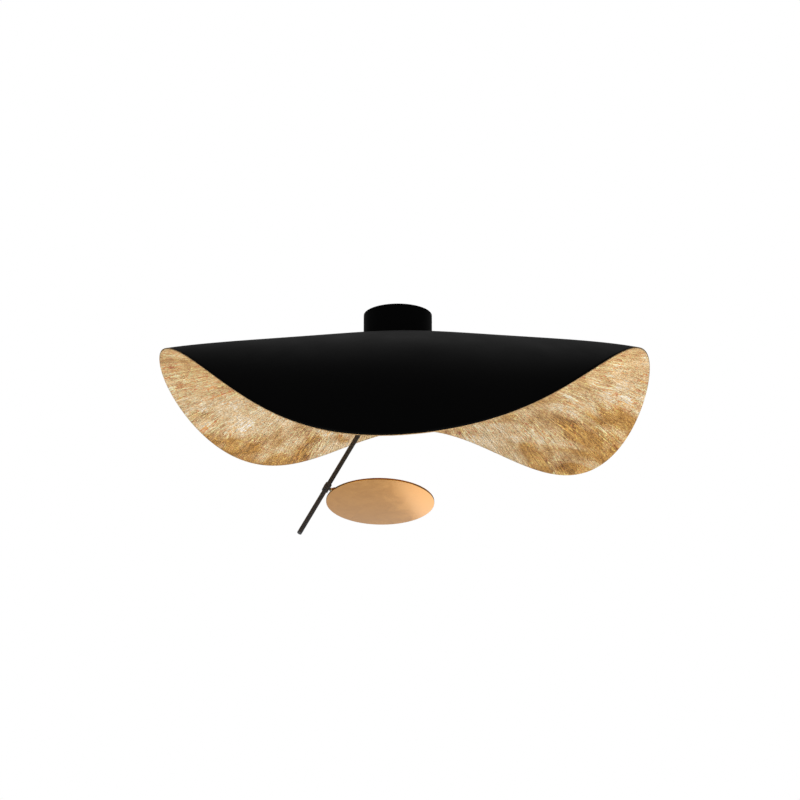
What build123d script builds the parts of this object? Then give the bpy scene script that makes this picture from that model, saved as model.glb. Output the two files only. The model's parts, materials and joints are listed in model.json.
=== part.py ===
from build123d import *
import os
from math import cos, pi, radians, sin, sqrt

# A ceiling light: a round sheet, bent into three hanging lobes, is clamped under a small
# canopy. A thin rod swivels and tilts below its crown and carries a small lit disc, which
# slides on the rod, turns round it and tilts on a hinge. Its light goes up into the sheet.
# Millimetres. The origin is the centre of the ceiling face, +Z is up, the front is -Y.

# Fits
RUNNING = 0.06
PARTING = 0.3
SLACK = 0.1

# Bent sheet: an oval seen from above, with the drop of its rim at every clock hour
SHADE_WIDTH = 596
SHADE_DEPTH = 548
SHADE_SHIFT_X = 8
SHADE_SHIFT_Y = 4
SHADE_THICKNESS = 1.5
CROWN_RADIUS = 46
RIM_DROPS = [182, 141, 45, 28, 92, 52, 7, 63, 55, 11, 46, 146]
EASY_SHOULDER = 0.55
FRONT_SHOULDER = 0.8
RINGS = 4
RIM_POINTS = 36

# Canopy
CANOPY_DIAMETER = 84
CANOPY_HEIGHT = 55
CANOPY_WALL = 1.5
CANOPY_EDGE = 2
GRUB_DROP = 9
GRUB_DIAMETER = 4
GRUB_LENGTH = 8
SCREW_SLOT = 0.8
SCREW_SLOT_DEPTH = 0.8

# Ceiling bracket
BRACKET_WIDTH = 24
BRACKET_THICKNESS = 2
BRACKET_EAR = 16
BRACKET_GAP = 1
CEILING_HOLE_TO_EAR = 8.5
CEILING_HOLE_DIAMETER = 5
CABLE_HOLE_DIAMETER = 11
CABLE_DIAMETER = 7
CABLE_HOLE_OFFSET = 24
GROMMET_LIP = 1.5
GROMMET_HEIGHT = 2
BRACKET_PAD_LENGTH = 34

# Driver, terminal block and earth
DRIVER_LENGTH = 48
DRIVER_WIDTH = 28
DRIVER_HEIGHT = 20
DRIVER_EDGE = 2
DRIVER_SCREW_DIAMETER = 3
DRIVER_SCREW_SPACING = 36
DRIVER_SCREW_DEPTH = 5
TERMINAL_LENGTH = 27
TERMINAL_WIDTH = 14
TERMINAL_HEIGHT = 13
TERMINAL_POLES = 3
TERMINAL_OFFSET = 21
TERMINAL_EDGE = 1.2
TERMINAL_GROOVE = 1
TERMINAL_GROOVE_DEPTH = 3
TERMINAL_SCREW_DIAMETER = 3
TERMINAL_SCREW_LENGTH = 4
WIRE_HOLE_DIAMETER = 3.6
SMALL_SLOT = 0.6
SMALL_SLOT_DEPTH = 0.6
EARTH_SCREW_DIAMETER = 4
EARTH_OFFSET = 25
EARTH_LUG_WIDTH = 9
EARTH_LUG_THICKNESS = 0.8
EARTH_TAIL_WIDTH = 3
EARTH_TAIL_LENGTH = 11
EARTH_HEAD_DIAMETER = 7
EARTH_HEAD_HEIGHT = 2.4

# Hollow bolt that clamps the sheet to the canopy
BOLT_DIAMETER = 10
BOLT_BORE = 7
BOLT_HEAD_DIAMETER = 17
BOLT_HEAD_HEIGHT = 3
BOLT_ABOVE_NUT = 2
CLAMP_WASHER_DIAMETER = 44
CLAMP_WASHER_THICKNESS = 1.5
LOCK_WASHER_DIAMETER = 18
LOCK_WASHER_THICKNESS = 1
LOCK_WASHER_TEETH = 12
LOCK_WASHER_NOTCH = 1.8
NUT_FLATS = 15
NUT_HEIGHT = 4

# Swivel fork under the bolt
SPIGOT_BORE = 3.5
FRICTION_WASHER_THICKNESS = 0.5
FORK_PLATE_DIAMETER = 16
FORK_PLATE_HEIGHT = 2
FORK_CHEEK = 2.2
FORK_CHEEK_WIDTH = 9
PIVOT_BELOW_PLATE = 6.5
CLIP_THICKNESS = 0.8
CLIP_DIAMETER = 9.5
CLIP_GROOVE = 0.6
CLIP_MOUTH = 3.5
TILT_SCREW_DIAMETER = 3
TILT_HEAD_DIAMETER = 6
TILT_HEAD_HEIGHT = 1.8
KNURLS = 16
KNURL_DIAMETER = 0.5

# Rod, leaning to the front left
ROD_DIAMETER = 5.5
ROD_WALL = 0.7
ROD_LENGTH = 276
ROD_LEAN = 33
ROD_HEADING = 42
EYE_THICKNESS = 5
EYE_DIAMETER = 8.5
EYE_NECK = 9
EYE_TENON = 12
CORE_DIAMETER = 1.6
SLOT_WIDTH = 1.6
SLOT_HEADING = 225
SLOT_END_MARGIN = 8
PLUG_LENGTH = 5

# Slider on the rod
SLIDER_AT = 202
SLIDER_UP = 60
SLIDER_DOWN = 50
BUSH_LENGTH = 5
NECK_WALL = 0.45
CAP_WALL = 0.54
RING_HEIGHT = 2.6
RING_WALL = 0.7
CAP_HEIGHT = 3
CAP_LIP = 1
SLIDER_GRUB_DIAMETER = 2
SLIDER_GRUB_SLOT = 0.4
FINGER_WIDTH = 1
FINGER_HEIGHT = 2.4
FINGER_SINK = 0.4

# Hinge between the slider's ring and the lit disc
DISC_TURN = 165.5
DISC_TILT = 27
HINGE_GAP = 0.38
HINGE_PIN_DIAMETER = 1.2
HINGE_EYE_DIAMETER = 2.6
HINGE_TONGUE = 1.6
HINGE_EAR = 1
HINGE_TO_RIM = 1.8
CLIP_PLATE_LENGTH = 13
CLIP_PLATE_WIDTH = 9
CLIP_PLATE_THICKNESS = 0.8
RIVET_DIAMETER = 2
RIVET_HEAD_DIAMETER = 3.2
RIVET_HEAD_HEIGHT = 0.6
RIVET_FROM_END = 4

# Lit disc
DISC_DIAMETER = 127
DISC_THICKNESS = 2.4
DISC_EDGE = 0.5
POCKET_DEPTH = 1
BOARD_DIAMETER = 52
BOARD_THICKNESS = 1.6
BOARD_HOLES = 4
BOARD_HOLE_DIAMETER = 2.2
BOARD_HOLE_TO_RIM = 4
CHIP_DIAMETER = 19
CHIP_THICKNESS = 1
LENS_DIAMETER = 62
LENS_WALL = 1.6
LENS_SKIRT = 4.2
LENS_RISE = 2.5
LENS_FLANGE = 1.5
LENS_FLANGE_THICKNESS = 1.2
BEZEL_WIDTH = 7
BEZEL_THICKNESS = 2
DISC_SCREW_DIAMETER = 2.5
DISC_SCREWS = 3
BEZEL_SCREW_BITE = 0.8
BEZEL_SCREW_HEAD = 4
BEZEL_HEAD_HEIGHT = 1.2

# Heights that follow from the stack under the ceiling
CROWN_TOP = -CANOPY_HEIGHT
CROWN_UNDER = CROWN_TOP - SHADE_THICKNESS
WASHER_UNDER = CROWN_UNDER - CLAMP_WASHER_THICKNESS
BOLT_UNDER = WASHER_UNDER - BOLT_HEAD_HEIGHT
FORK_TOP = BOLT_UNDER - FRICTION_WASHER_THICKNESS
FORK_UNDER = FORK_TOP - FORK_PLATE_HEIGHT
PIVOT_Z = FORK_UNDER - PIVOT_BELOW_PLATE
FLOOR_TOP = CROWN_TOP + CANOPY_WALL
NUT_UNDER = FLOOR_TOP + LOCK_WASHER_THICKNESS
BOLT_TOP = NUT_UNDER + NUT_HEIGHT + BOLT_ABOVE_NUT
BRACKET_UNDER = -BRACKET_THICKNESS
DRIVER_UNDER = BRACKET_UNDER - DRIVER_HEIGHT

# Radii shared by pieces that fit each other
CANOPY_INSIDE = CANOPY_DIAMETER / 2 - CANOPY_WALL
BRACKET_REACH = CANOPY_INSIDE - BRACKET_GAP
CEILING_HOLE_OFFSET = BRACKET_REACH - CEILING_HOLE_TO_EAR
ROD_RADIUS = ROD_DIAMETER / 2
TUBE_BORE = ROD_RADIUS - ROD_WALL
BUSH_BORE = ROD_RADIUS + RUNNING
NECK_RADIUS = BUSH_BORE + NECK_WALL
BUSH_RADIUS = NECK_RADIUS + CAP_WALL
RING_RADIUS = NECK_RADIUS + RUNNING + RING_WALL
HINGE_REACH = RING_RADIUS + HINGE_GAP + HINGE_EYE_DIAMETER / 2
SPIGOT_RADIUS = BOLT_BORE / 2 - RUNNING
PIN_RADIUS = HINGE_PIN_DIAMETER / 2
POCKET_RADIUS = LENS_DIAMETER / 2 + BEZEL_WIDTH
TERMINAL_PITCH = TERMINAL_LENGTH / TERMINAL_POLES
FORK_GAP = EYE_THICKNESS + 2 * SLACK
FORK_HALF_WIDTH = FORK_GAP / 2 + FORK_CHEEK
HINGE_HALF_WIDTH = HINGE_TONGUE / 2 + SLACK + HINGE_EAR

# Alignments: standing on a height, hanging from one, and starting at the axis
STANDING = (Align.CENTER, Align.CENTER, Align.MIN)
HANGING = (Align.CENTER, Align.CENTER, Align.MAX)
OUTWARDS = (Align.MIN, Align.CENTER, Align.CENTER)
OUT_STANDING = (Align.MIN, Align.CENTER, Align.MIN)


def ring_value(hours, direction):
    """A smooth closed curve through values that are evenly spaced round the clock."""
    count = len(hours)
    total = 0
    for place, value in enumerate(hours):
        away = direction - 2 * pi * place / count
        weight = 1 + cos(count / 2 * away)
        for order in range(1, count // 2):
            weight += 2 * cos(order * away)
        total += value * weight / count
    return total


def rim_reach(direction):
    """How far the oval rim is from the canopy's axis, in plan, in one direction."""
    across, along = SHADE_WIDTH / 2, SHADE_DEPTH / 2
    east, north = sin(direction), -cos(direction)
    square = (east / across) ** 2 + (north / along) ** 2
    half = east * SHADE_SHIFT_X / across**2 + north * SHADE_SHIFT_Y / along**2
    rest = (SHADE_SHIFT_X / across) ** 2 + (SHADE_SHIFT_Y / along) ** 2 - 1
    return (half + sqrt(half * half - square * rest)) / square


def upper_skin(direction, share):
    """A point of the sheet's upper face, from the flat crown (0) to the rim (1).

    Each line from the crown to the rim is a quadratic curve that leaves the crown level,
    so the sheet rolls down softly, and most steeply at the front."""
    facing_front = (1 + cos(direction)) / 2
    shoulder = EASY_SHOULDER + (FRONT_SHOULDER - EASY_SHOULDER) * facing_front
    run = rim_reach(direction) - CROWN_RADIUS
    radius = CROWN_RADIUS + run * (2 * share * (1 - share) * shoulder + share**2)
    drop = share**2 * ring_value(RIM_DROPS, direction)
    return Vector(radius * sin(direction), -radius * cos(direction), CROWN_TOP - drop)


def lower_skin(direction, share):
    """The point one sheet thickness below upper_skin, square to the face."""
    if share == 0:
        return upper_skin(direction, 0) - Vector(0, 0, SHADE_THICKNESS)
    step = 0.001
    along = upper_skin(direction, share + step) - upper_skin(direction, share - step)
    around = upper_skin(direction + step, share) - upper_skin(direction - step, share)
    normal = around.cross(along).normalized()
    if normal.Z < 0:
        normal = normal * -1
    return upper_skin(direction, share) - normal * SHADE_THICKNESS


def skin_ring(skin, share):
    """A closed spline round the sheet at one share of the way to the rim."""
    points = [skin(2 * pi * place / RIM_POINTS, share) for place in range(RIM_POINTS)]
    return Wire([Edge.make_spline(points, periodic=True)])


def circle_at(radius, height):
    return Wire([Edge.make_circle(radius, Plane.XY.offset(height))])


def make_shade():
    """The bent sheet: two lofted skins, a cut edge, a flat crown and its bolt hole."""
    shares = [ring / RINGS for ring in range(RINGS + 1)]
    upper = [skin_ring(upper_skin, share) for share in shares]
    lower = [skin_ring(lower_skin, share) for share in shares]
    hole_radius = BOLT_DIAMETER / 2 + SLACK
    hole_top = circle_at(hole_radius, CROWN_TOP)
    hole_under = circle_at(hole_radius, CROWN_UNDER)
    skins = [
        Shell.make_loft(upper),
        Shell.make_loft(lower),
        Shell.make_loft([upper[-1], lower[-1]], ruled=True),
        Shell.make_loft([hole_top, hole_under], ruled=True),
    ]
    faces = [face for skin in skins for face in skin.faces()]
    faces += [Face(upper[0], [hole_top]), Face(lower[0], [hole_under])]
    return Solid(Shell(faces))


def tube(outer, inner, bottom, height):
    """A round tube that stands on the height bottom."""
    ring = Cylinder(outer, height, align=STANDING)
    ring -= Cylinder(inner, 3 * height)
    return Pos(0, 0, bottom) * ring


def rod_of(radius, bottom, height):
    """A round bar that stands on the height bottom."""
    bar = Cylinder(radius, height, align=STANDING)
    return Pos(0, 0, bottom) * bar


def across_y(radius, length, x, z):
    """A round bar along Y, centred on y = 0."""
    return Pos(x, 0, z) * Rot(90, 0, 0) * Cylinder(radius, length)


def make_canopy():
    """A deep-drawn cup, open to the ceiling, with a rounded lower edge."""
    radius = CANOPY_DIAMETER / 2
    cup = rod_of(radius, -CANOPY_HEIGHT, CANOPY_HEIGHT)
    cup = fillet(cup.edges().group_by(Axis.Z)[0], CANOPY_EDGE)
    cup -= rod_of(CANOPY_INSIDE, FLOOR_TOP, CANOPY_HEIGHT)
    cup -= Cylinder(BOLT_DIAMETER / 2 + SLACK, 3 * CANOPY_HEIGHT)
    cup -= grub_bar(GRUB_DIAMETER / 2 + SLACK, CANOPY_DIAMETER)
    cup -= Pos(EARTH_OFFSET, 0, FLOOR_TOP) * Cylinder(EARTH_SCREW_DIAMETER / 2, 4 * CANOPY_WALL)
    return cup


def grub_bar(radius, length):
    """A bar along X at the height of the two side screws."""
    return Pos(0, 0, -GRUB_DROP) * Rot(0, 90, 0) * Cylinder(radius, length + 2)


def make_grub_screws():
    """Two slotted screws through the canopy's wall into the bracket's ears."""
    screws = []
    for side in (-1, 1):
        start = CANOPY_DIAMETER / 2 - GRUB_LENGTH / 2
        screw = Cylinder(GRUB_DIAMETER / 2, GRUB_LENGTH)
        screw -= Pos(0, 0, GRUB_LENGTH / 2) * Box(2 * GRUB_DIAMETER, SCREW_SLOT, 2 * SCREW_SLOT_DEPTH)
        screws.append(Pos(side * start, 0, -GRUB_DROP) * Rot(0, side * 90, 0) * screw)
    return Compound(screws)


def make_bracket():
    """A pressed strap against the ceiling, with its ears turned down inside the canopy."""
    strap = Box(2 * BRACKET_REACH, BRACKET_WIDTH, BRACKET_THICKNESS, align=HANGING)
    pad_depth = 2 * (CABLE_HOLE_OFFSET + CABLE_HOLE_DIAMETER)
    strap += Box(BRACKET_PAD_LENGTH, pad_depth, BRACKET_THICKNESS, align=HANGING)
    for side in (-1, 1):
        middle = side * (BRACKET_REACH - BRACKET_THICKNESS / 2)
        strap += Pos(middle, 0, 0) * Box(BRACKET_THICKNESS, BRACKET_WIDTH, BRACKET_EAR, align=HANGING)
    strap = strap & rod_of(BRACKET_REACH, -BRACKET_EAR, BRACKET_EAR)
    through = 4 * BRACKET_THICKNESS
    for side in (-1, 1):
        strap -= Pos(side * CEILING_HOLE_OFFSET, 0, 0) * Cylinder(CEILING_HOLE_DIAMETER / 2, through)
        strap -= Pos(side * DRIVER_SCREW_SPACING / 2, 0, 0) * Cylinder(DRIVER_SCREW_DIAMETER / 2, through)
    strap -= Pos(0, CABLE_HOLE_OFFSET, 0) * Cylinder(CABLE_HOLE_DIAMETER / 2, through)
    strap -= grub_bar(GRUB_DIAMETER / 2, 2 * BRACKET_REACH)
    return strap


def make_grommet():
    """A rubber ring in the bracket's cable hole, with a lip under the plate."""
    waist = CABLE_HOLE_DIAMETER / 2
    ring = rod_of(waist, -BRACKET_THICKNESS, BRACKET_THICKNESS)
    ring += rod_of(waist + GROMMET_LIP, -BRACKET_THICKNESS - GROMMET_HEIGHT, GROMMET_HEIGHT)
    ring -= Cylinder(CABLE_DIAMETER / 2, 4 * (BRACKET_THICKNESS + GROMMET_HEIGHT))
    return Pos(0, CABLE_HOLE_OFFSET, 0) * ring


def make_driver():
    """The driver's closed moulded case, screwed up against the bracket."""
    case = Box(DRIVER_LENGTH, DRIVER_WIDTH, DRIVER_HEIGHT, align=HANGING)
    case = fillet(case.edges().filter_by(Axis.Z), DRIVER_EDGE)
    depth = DRIVER_SCREW_DEPTH + 1
    for side in (-1, 1):
        case -= Pos(side * DRIVER_SCREW_SPACING / 2, 0, 0) * Cylinder(DRIVER_SCREW_DIAMETER / 2, 2 * depth)
    return Pos(0, 0, BRACKET_UNDER) * case


def make_driver_screws():
    """Two screws down through the bracket into the driver's case, flush with the ceiling."""
    screws = []
    length = DRIVER_SCREW_DEPTH + BRACKET_THICKNESS
    for side in (-1, 1):
        shank = rod_of(DRIVER_SCREW_DIAMETER / 2, -length, length)
        screws.append(Pos(side * DRIVER_SCREW_SPACING / 2, 0, 0) * shank)
    return Compound(screws)


def make_terminal_block():
    """A screw terminal block with one barrel for each wire, on the canopy's floor."""
    block = Box(TERMINAL_LENGTH, TERMINAL_WIDTH, TERMINAL_HEIGHT, align=STANDING)
    block = fillet(block.edges().group_by(Axis.Z)[-1], TERMINAL_EDGE)
    for pole in range(TERMINAL_POLES):
        x = (pole - (TERMINAL_POLES - 1) / 2) * TERMINAL_PITCH
        block -= across_y(WIRE_HOLE_DIAMETER / 2, 2 * TERMINAL_WIDTH, x, TERMINAL_HEIGHT / 2)
        for side in (-1, 1):
            screw_hole = Cylinder(TERMINAL_SCREW_DIAMETER / 2, TERMINAL_HEIGHT)
            block -= Pos(x, side * TERMINAL_WIDTH / 4, TERMINAL_HEIGHT) * screw_hole
    for gap in range(TERMINAL_POLES - 1):
        x = (gap - (TERMINAL_POLES - 2) / 2) * TERMINAL_PITCH
        groove = Box(TERMINAL_GROOVE, 2 * TERMINAL_WIDTH, 2 * TERMINAL_GROOVE_DEPTH)
        block -= Pos(x, 0, TERMINAL_HEIGHT) * groove
    return Pos(0, -TERMINAL_OFFSET, FLOOR_TOP) * block


def make_terminal_screws():
    """Two brass clamp screws for each pole of the terminal block."""
    screws = []
    radius = TERMINAL_SCREW_DIAMETER / 2 - RUNNING
    screw = rod_of(radius, TERMINAL_HEIGHT / 2, TERMINAL_SCREW_LENGTH)
    slot = Box(3 * radius, SMALL_SLOT, 2 * SMALL_SLOT_DEPTH)
    screw -= Pos(0, 0, TERMINAL_HEIGHT / 2 + TERMINAL_SCREW_LENGTH) * slot
    for pole in range(TERMINAL_POLES):
        x = (pole - (TERMINAL_POLES - 1) / 2) * TERMINAL_PITCH
        for side in (-1, 1):
            y = side * TERMINAL_WIDTH / 4 - TERMINAL_OFFSET
            screws.append(Pos(x, y, FLOOR_TOP) * screw)
    return Compound(screws)


def make_earth_lug():
    """A flat ring lug under the earth screw's head."""
    lug = tube(EARTH_LUG_WIDTH / 2, EARTH_SCREW_DIAMETER / 2 + SLACK, 0, EARTH_LUG_THICKNESS)
    tail = Box(EARTH_TAIL_WIDTH, EARTH_TAIL_LENGTH, EARTH_LUG_THICKNESS, align=STANDING)
    lug += Pos(0, (EARTH_LUG_WIDTH + EARTH_TAIL_LENGTH) / 2 - 1, 0) * tail
    return Pos(EARTH_OFFSET, 0, FLOOR_TOP) * lug


def make_earth_screw():
    """A pan-head screw in the canopy's floor, flush with it below."""
    screw = rod_of(EARTH_SCREW_DIAMETER / 2 - SLACK, -CANOPY_WALL, CANOPY_WALL + 1)
    head = rod_of(EARTH_HEAD_DIAMETER / 2, EARTH_LUG_THICKNESS, EARTH_HEAD_HEIGHT)
    slot = Box(2 * EARTH_HEAD_DIAMETER, SCREW_SLOT, 2 * SCREW_SLOT_DEPTH)
    head -= Pos(0, 0, EARTH_LUG_THICKNESS + EARTH_HEAD_HEIGHT) * slot
    return Pos(EARTH_OFFSET, 0, FLOOR_TOP) * (screw + head)


def make_hollow_bolt():
    """The bolt that clamps sheet and canopy, bored for the swivel's spigot."""
    bolt = rod_of(BOLT_DIAMETER / 2, WASHER_UNDER, BOLT_TOP - WASHER_UNDER)
    bolt += rod_of(BOLT_HEAD_DIAMETER / 2, BOLT_UNDER, BOLT_HEAD_HEIGHT)
    bolt -= Cylinder(BOLT_BORE / 2, 4 * CANOPY_HEIGHT)
    return bolt


def make_clamp_washer():
    """A dished washer that spreads the bolt's load under the sheet's crown."""
    washer = tube(CLAMP_WASHER_DIAMETER / 2, BOLT_DIAMETER / 2 + SLACK, WASHER_UNDER, CLAMP_WASHER_THICKNESS)
    return chamfer(washer.edges().group_by(Axis.Z)[0].sort_by(SortBy.LENGTH)[-1], CLAMP_WASHER_THICKNESS / 2)


def make_lock_washer():
    """A toothed washer between the nut and the canopy's floor."""
    washer = tube(LOCK_WASHER_DIAMETER / 2, BOLT_DIAMETER / 2 + SLACK, FLOOR_TOP, LOCK_WASHER_THICKNESS)
    for notch in PolarLocations(LOCK_WASHER_DIAMETER / 2, LOCK_WASHER_TEETH):
        washer -= Pos(0, 0, FLOOR_TOP) * notch * Cylinder(LOCK_WASHER_NOTCH / 2, 3 * LOCK_WASHER_THICKNESS)
    return washer


def make_lock_nut():
    """The hexagon nut inside the canopy."""
    nut = extrude(RegularPolygon(NUT_FLATS / 2, 6, major_radius=False), NUT_HEIGHT)
    nut -= Cylinder(BOLT_DIAMETER / 2, 3 * NUT_HEIGHT)
    return Pos(0, 0, NUT_UNDER) * nut


HEADING = radians(ROD_HEADING)
LEAN = radians(ROD_LEAN)
OUTWARD = Vector(-cos(HEADING), -sin(HEADING), 0)
UP = Vector(0, 0, 1)
STEM = Plane(origin=(0, 0, 0), x_dir=OUTWARD, z_dir=UP)
PIVOT = UP * PIVOT_Z
ROD_UP = UP * cos(LEAN) - OUTWARD * sin(LEAN)
ROD_OUT = OUTWARD * cos(LEAN) + UP * sin(LEAN)
ROD = Plane(origin=PIVOT, x_dir=ROD_OUT, z_dir=ROD_UP)
TILT_AXIS = ROD.y_dir


def make_friction_washer():
    """A thin plastic washer that gives the swivel its drag."""
    return tube(FORK_PLATE_DIAMETER / 2, BOLT_BORE / 2 + SLACK, FORK_TOP, FRICTION_WASHER_THICKNESS)


def make_swivel_fork():
    """A hollow spigot that turns in the bolt, with a plate and two cheeks for the rod."""
    top = BOLT_TOP + 2 * CLIP_THICKNESS
    fork = rod_of(SPIGOT_RADIUS, FORK_TOP, top - FORK_TOP)
    fork += rod_of(FORK_PLATE_DIAMETER / 2, FORK_UNDER, FORK_PLATE_HEIGHT)
    for side in (-1, 1):
        middle = side * (FORK_GAP + FORK_CHEEK) / 2
        cheek = Box(FORK_CHEEK_WIDTH, FORK_CHEEK, PIVOT_BELOW_PLATE, align=HANGING)
        fork += Pos(0, middle, FORK_UNDER) * cheek
        fork += Pos(0, middle, 0) * across_y(FORK_CHEEK_WIDTH / 2, FORK_CHEEK, 0, PIVOT_Z)
    fork -= across_y(TILT_SCREW_DIAMETER / 2, 3 * FORK_HALF_WIDTH, 0, PIVOT_Z)
    fork -= rod_of(SPIGOT_BORE / 2, FORK_UNDER - 1, CANOPY_HEIGHT)
    fork -= Pos(0, 0, BOLT_TOP + CLIP_THICKNESS / 2) * ring_groove(SPIGOT_RADIUS, CLIP_GROOVE, CLIP_THICKNESS)
    return STEM.location * fork


def ring_groove(radius, depth, height):
    """A ring to cut a groove of this depth round a bar."""
    ring = Cylinder(radius + 1, height)
    return ring - Cylinder(radius - depth, 2 * height)


def make_swivel_clip():
    """An open spring clip in the spigot's groove, above the hollow bolt."""
    clip = Cylinder(CLIP_DIAMETER / 2, CLIP_THICKNESS - SLACK)
    clip -= Cylinder(SPIGOT_RADIUS - CLIP_GROOVE, 3 * CLIP_THICKNESS)
    clip -= Pos(CLIP_DIAMETER / 2, 0, 0) * Box(CLIP_DIAMETER, CLIP_MOUTH, 3 * CLIP_THICKNESS)
    return STEM.location * Pos(0, 0, BOLT_TOP + CLIP_THICKNESS / 2) * clip


def make_tilt_screw():
    """The screw on which the rod tilts, slotted in its head."""
    half = FORK_HALF_WIDTH
    screw = rod_of(TILT_SCREW_DIAMETER / 2, -half - TILT_HEAD_HEIGHT, 2 * half + TILT_HEAD_HEIGHT)
    head = rod_of(TILT_HEAD_DIAMETER / 2, half, TILT_HEAD_HEIGHT)
    slot = Box(2 * TILT_HEAD_DIAMETER, SCREW_SLOT, 2 * SCREW_SLOT_DEPTH)
    head -= Pos(0, 0, half + TILT_HEAD_HEIGHT) * slot
    return STEM.location * Pos(0, 0, PIVOT_Z) * Rot(90, 0, 0) * (screw + head)


def make_tilt_nut():
    """A knurled nut that sets how stiffly the rod tilts."""
    under = -FORK_HALF_WIDTH - TILT_HEAD_HEIGHT
    nut = tube(TILT_HEAD_DIAMETER / 2, TILT_SCREW_DIAMETER / 2, under, TILT_HEAD_HEIGHT)
    for notch in PolarLocations(TILT_HEAD_DIAMETER / 2, KNURLS):
        nut -= Pos(0, 0, under) * notch * Cylinder(KNURL_DIAMETER / 2, 3 * TILT_HEAD_HEIGHT)
    return STEM.location * Pos(0, 0, PIVOT_Z) * Rot(90, 0, 0) * nut


def make_rod_eye():
    """The flat eye at the rod's top, with a shoulder and a tenon inside the tube."""
    eye = across_y(EYE_DIAMETER / 2, EYE_THICKNESS, 0, 0)
    neck = Box(ROD_DIAMETER, EYE_THICKNESS, EYE_NECK, align=HANGING)
    eye += neck & rod_of(ROD_RADIUS, -EYE_NECK, EYE_NECK)
    eye += rod_of(TUBE_BORE - RUNNING, -EYE_NECK - EYE_TENON, EYE_TENON)
    eye -= across_y(TILT_SCREW_DIAMETER / 2 + RUNNING, 2 * EYE_THICKNESS, 0, 0)
    return ROD.location * eye


def slot_cut():
    """The slot down the rod's rear side, over the slider's travel."""
    top = -(SLIDER_AT - SLIDER_UP) + SLOT_END_MARGIN
    bottom = -(SLIDER_AT + SLIDER_DOWN) - BUSH_LENGTH - SLOT_END_MARGIN / 2
    length = top - bottom
    cut = Box(ROD_DIAMETER, SLOT_WIDTH, length, align=OUT_STANDING)
    return Rot(0, 0, SLOT_HEADING) * Pos(0, 0, bottom) * cut


def make_rod_tube():
    """The black tube: one pole of the low voltage, slotted for the slider's contact."""
    length = ROD_LENGTH - EYE_NECK
    pipe = tube(ROD_RADIUS, TUBE_BORE, -ROD_LENGTH, length)
    return ROD.location * (pipe - slot_cut())


def make_rod_insulator():
    """A plastic lining between the tube and its live core, slotted like the tube."""
    top = -EYE_NECK - EYE_TENON
    bottom = -ROD_LENGTH + PLUG_LENGTH
    lining = tube(TUBE_BORE - RUNNING, CORE_DIAMETER / 2 + RUNNING, bottom, top - bottom)
    return ROD.location * (lining - slot_cut())


def make_rod_core():
    """The brass core in the lining: the other pole."""
    top = -EYE_NECK - EYE_TENON
    bottom = -ROD_LENGTH + PLUG_LENGTH
    return ROD.location * rod_of(CORE_DIAMETER / 2, bottom, top - bottom)


def make_rod_plug():
    """A plain plug that closes the rod's lower end."""
    plug = rod_of(TUBE_BORE - RUNNING, -ROD_LENGTH, PLUG_LENGTH)
    return ROD.location * plug


RING_UNDER = -RING_HEIGHT / 2
NECK_UNDER = RING_UNDER - SLACK
CAP_UNDER = RING_HEIGHT / 2 + SLACK
NECK_TOP = CAP_UNDER + CAP_HEIGHT - CAP_LIP
SLIDER = Plane(origin=PIVOT - ROD_UP * SLIDER_AT, x_dir=ROD_OUT, z_dir=ROD_UP)


def make_slider_bush():
    """The black bush that slides on the rod: a flange below and a thin neck above."""
    bush = tube(BUSH_RADIUS, BUSH_BORE, NECK_UNDER - BUSH_LENGTH, BUSH_LENGTH)
    bush += tube(NECK_RADIUS, BUSH_BORE, NECK_UNDER, NECK_TOP - NECK_UNDER)
    middle = NECK_UNDER - BUSH_LENGTH / 2
    finger_seat = Box(2 * BUSH_RADIUS, FINGER_WIDTH, FINGER_HEIGHT, align=OUTWARDS)
    bush -= Rot(0, 0, SLOT_HEADING) * Pos(0, 0, middle) * finger_seat
    screw_seat = Rot(0, 90, 0) * rod_of(SLIDER_GRUB_DIAMETER / 2, 0, 2 * BUSH_RADIUS)
    bush -= Rot(0, 0, SLOT_HEADING + 90) * Pos(0, 0, middle) * screw_seat
    return SLIDER.location * bush


def make_contact_finger():
    """A brass finger, fixed in the bush, that reaches through the slot to the core."""
    reach = CORE_DIAMETER / 2 + PARTING
    finger = Box(BUSH_RADIUS - FINGER_SINK - reach, FINGER_WIDTH, FINGER_HEIGHT, align=OUTWARDS)
    middle = NECK_UNDER - BUSH_LENGTH / 2
    return SLIDER.location * Rot(0, 0, SLOT_HEADING) * Pos(reach, 0, middle) * finger


def make_slider_grub():
    """A tiny screw in the bush that drags on the rod and holds the height."""
    length = BUSH_RADIUS - BUSH_BORE
    screw = rod_of(SLIDER_GRUB_DIAMETER / 2, BUSH_BORE, length)
    slot = Box(2 * SLIDER_GRUB_DIAMETER, SLIDER_GRUB_SLOT, 2 * SLIDER_GRUB_SLOT)
    screw -= Pos(0, 0, BUSH_BORE + length) * slot
    middle = NECK_UNDER - BUSH_LENGTH / 2
    return SLIDER.location * Rot(0, 0, SLOT_HEADING + 90) * Pos(0, 0, middle) * Rot(0, 90, 0) * screw


def make_slider_cap():
    """The cap that keeps the turning ring on the bush's neck."""
    cap = tube(BUSH_RADIUS, NECK_RADIUS, CAP_UNDER, CAP_HEIGHT - CAP_LIP)
    cap += tube(BUSH_RADIUS, BUSH_BORE, NECK_TOP, CAP_LIP)
    return SLIDER.location * cap


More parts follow.
